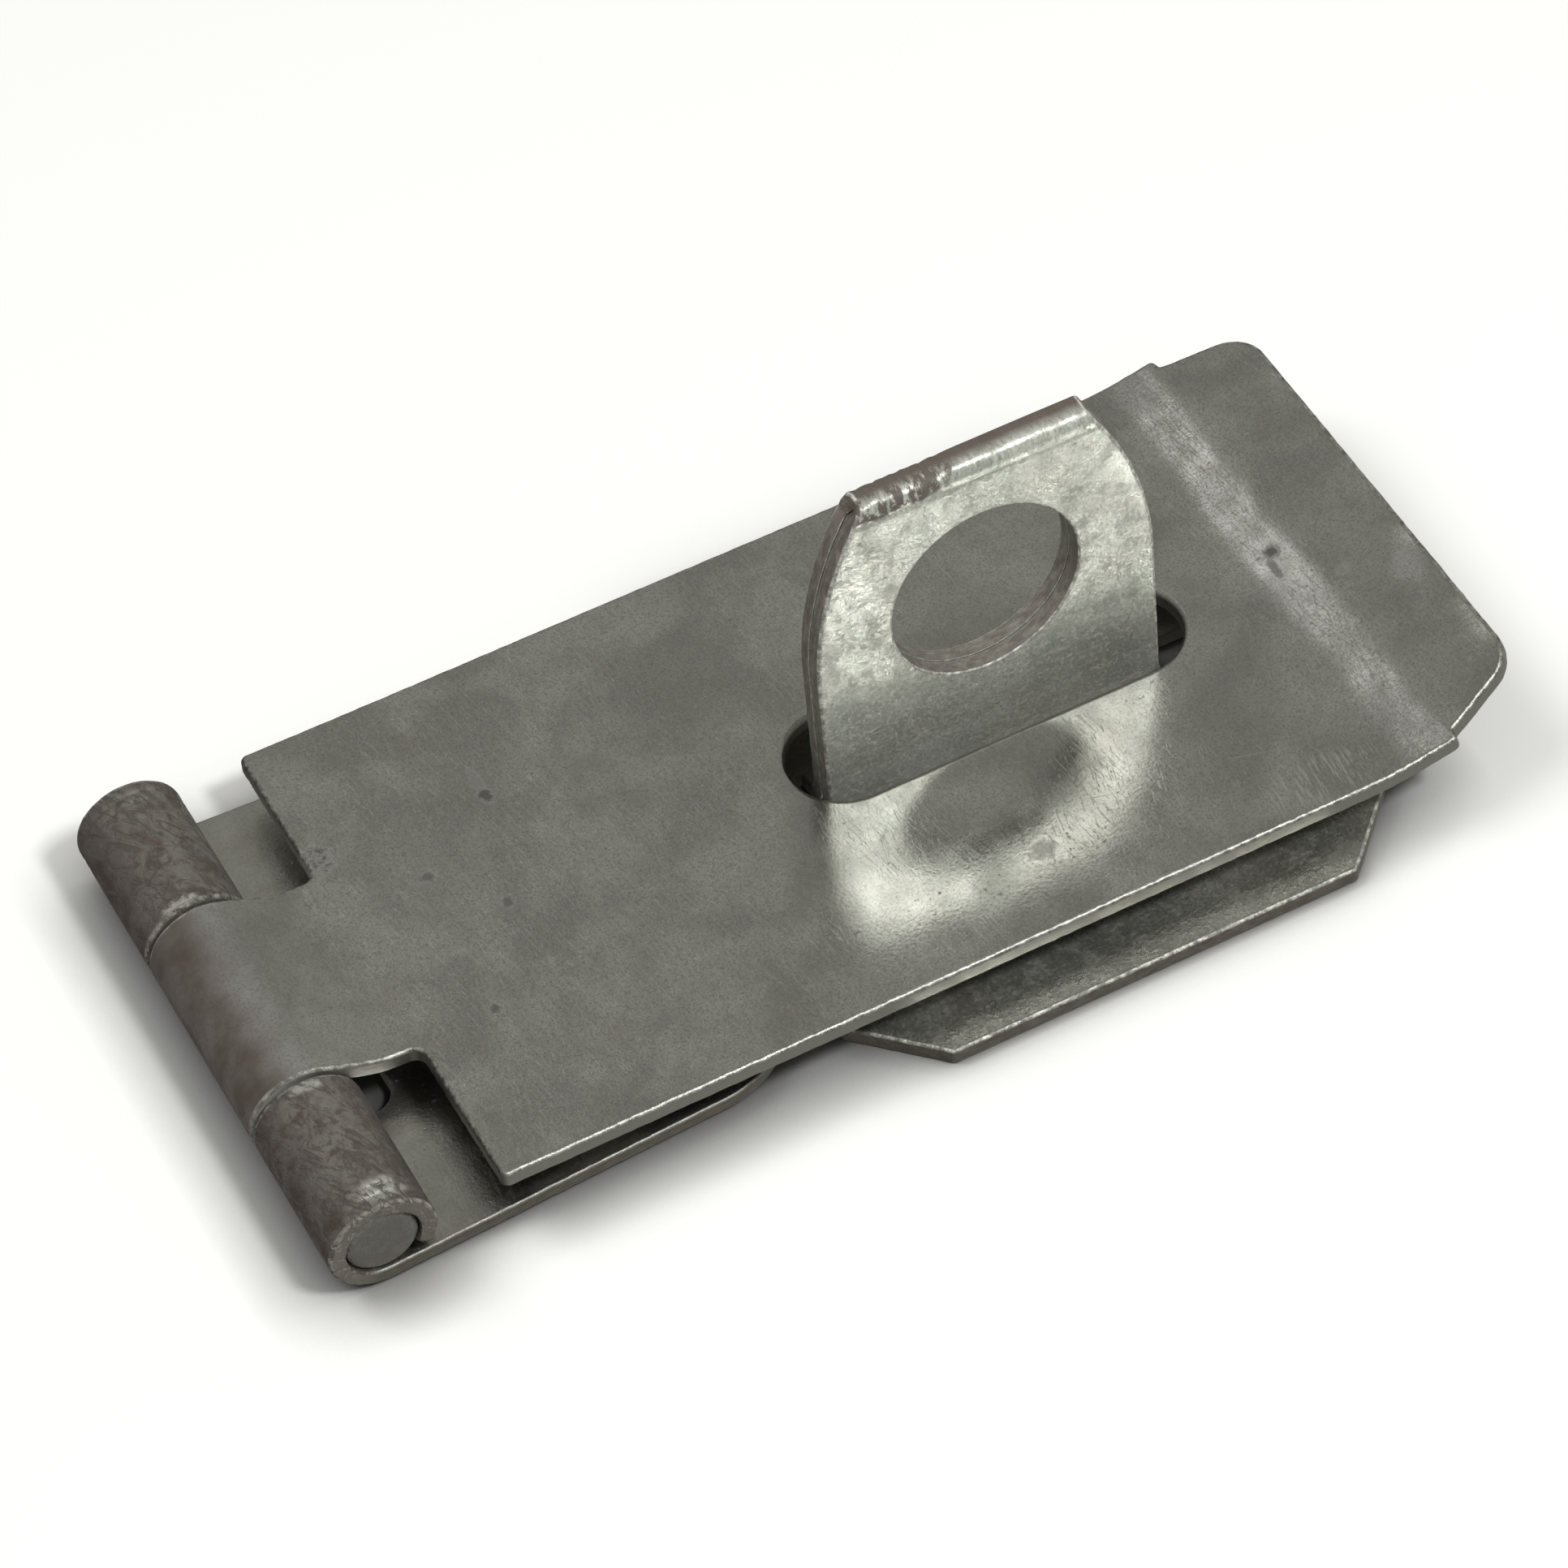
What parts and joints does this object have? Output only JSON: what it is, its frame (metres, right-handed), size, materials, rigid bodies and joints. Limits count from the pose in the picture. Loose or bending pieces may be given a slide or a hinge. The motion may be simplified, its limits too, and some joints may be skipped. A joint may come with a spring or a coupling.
{
  "type": "hasp and staple",
  "caption": "Pressed-steel hasp and staple: a slotted strap hinged to a base leaf by a pin in rolled knuckles, and a folded-sheet staple whose eye stands through the slot.",
  "frame": {"origin": "centre of the base leaf's two screw holes, on the mounting plane", "axes": "+X from the hinge towards the strap's tip, +Z away from the door, +Y along the hinge pin"},
  "size_m": [0.075, 0.0386, 0.0233],
  "materials": {
    "strap_zinc": "satin zinc plate, finely scratched, bright on worn edges",
    "leaf_zinc": "satin zinc plate, darker and browner round the knuckles",
    "pin_steel": "cropped wire, dull plated",
    "staple_zinc": "zinc plate, fine grainy sparkle on the eye"
  },
  "bodies": {
    "staple": {"staple": "staple_zinc"},
    "leaf": {"base_leaf": "leaf_zinc", "hinge_pin": "pin_steel"},
    "strap": {"hasp_strap": "strap_zinc"}
  },
  "joints": [
    {"name": "strap_hinge", "type": "hinge", "parent": "leaf", "child": "strap", "pos_m": [-0.016, 0, 0.0032], "axis": [0, -1, 0], "range_deg": [0, 179]},
    {"name": "hasp_lift_off", "type": "slide", "parent": "staple", "child": "leaf", "axis": [0, 0, 1], "range_m": [0, 0.023]}
  ]
}
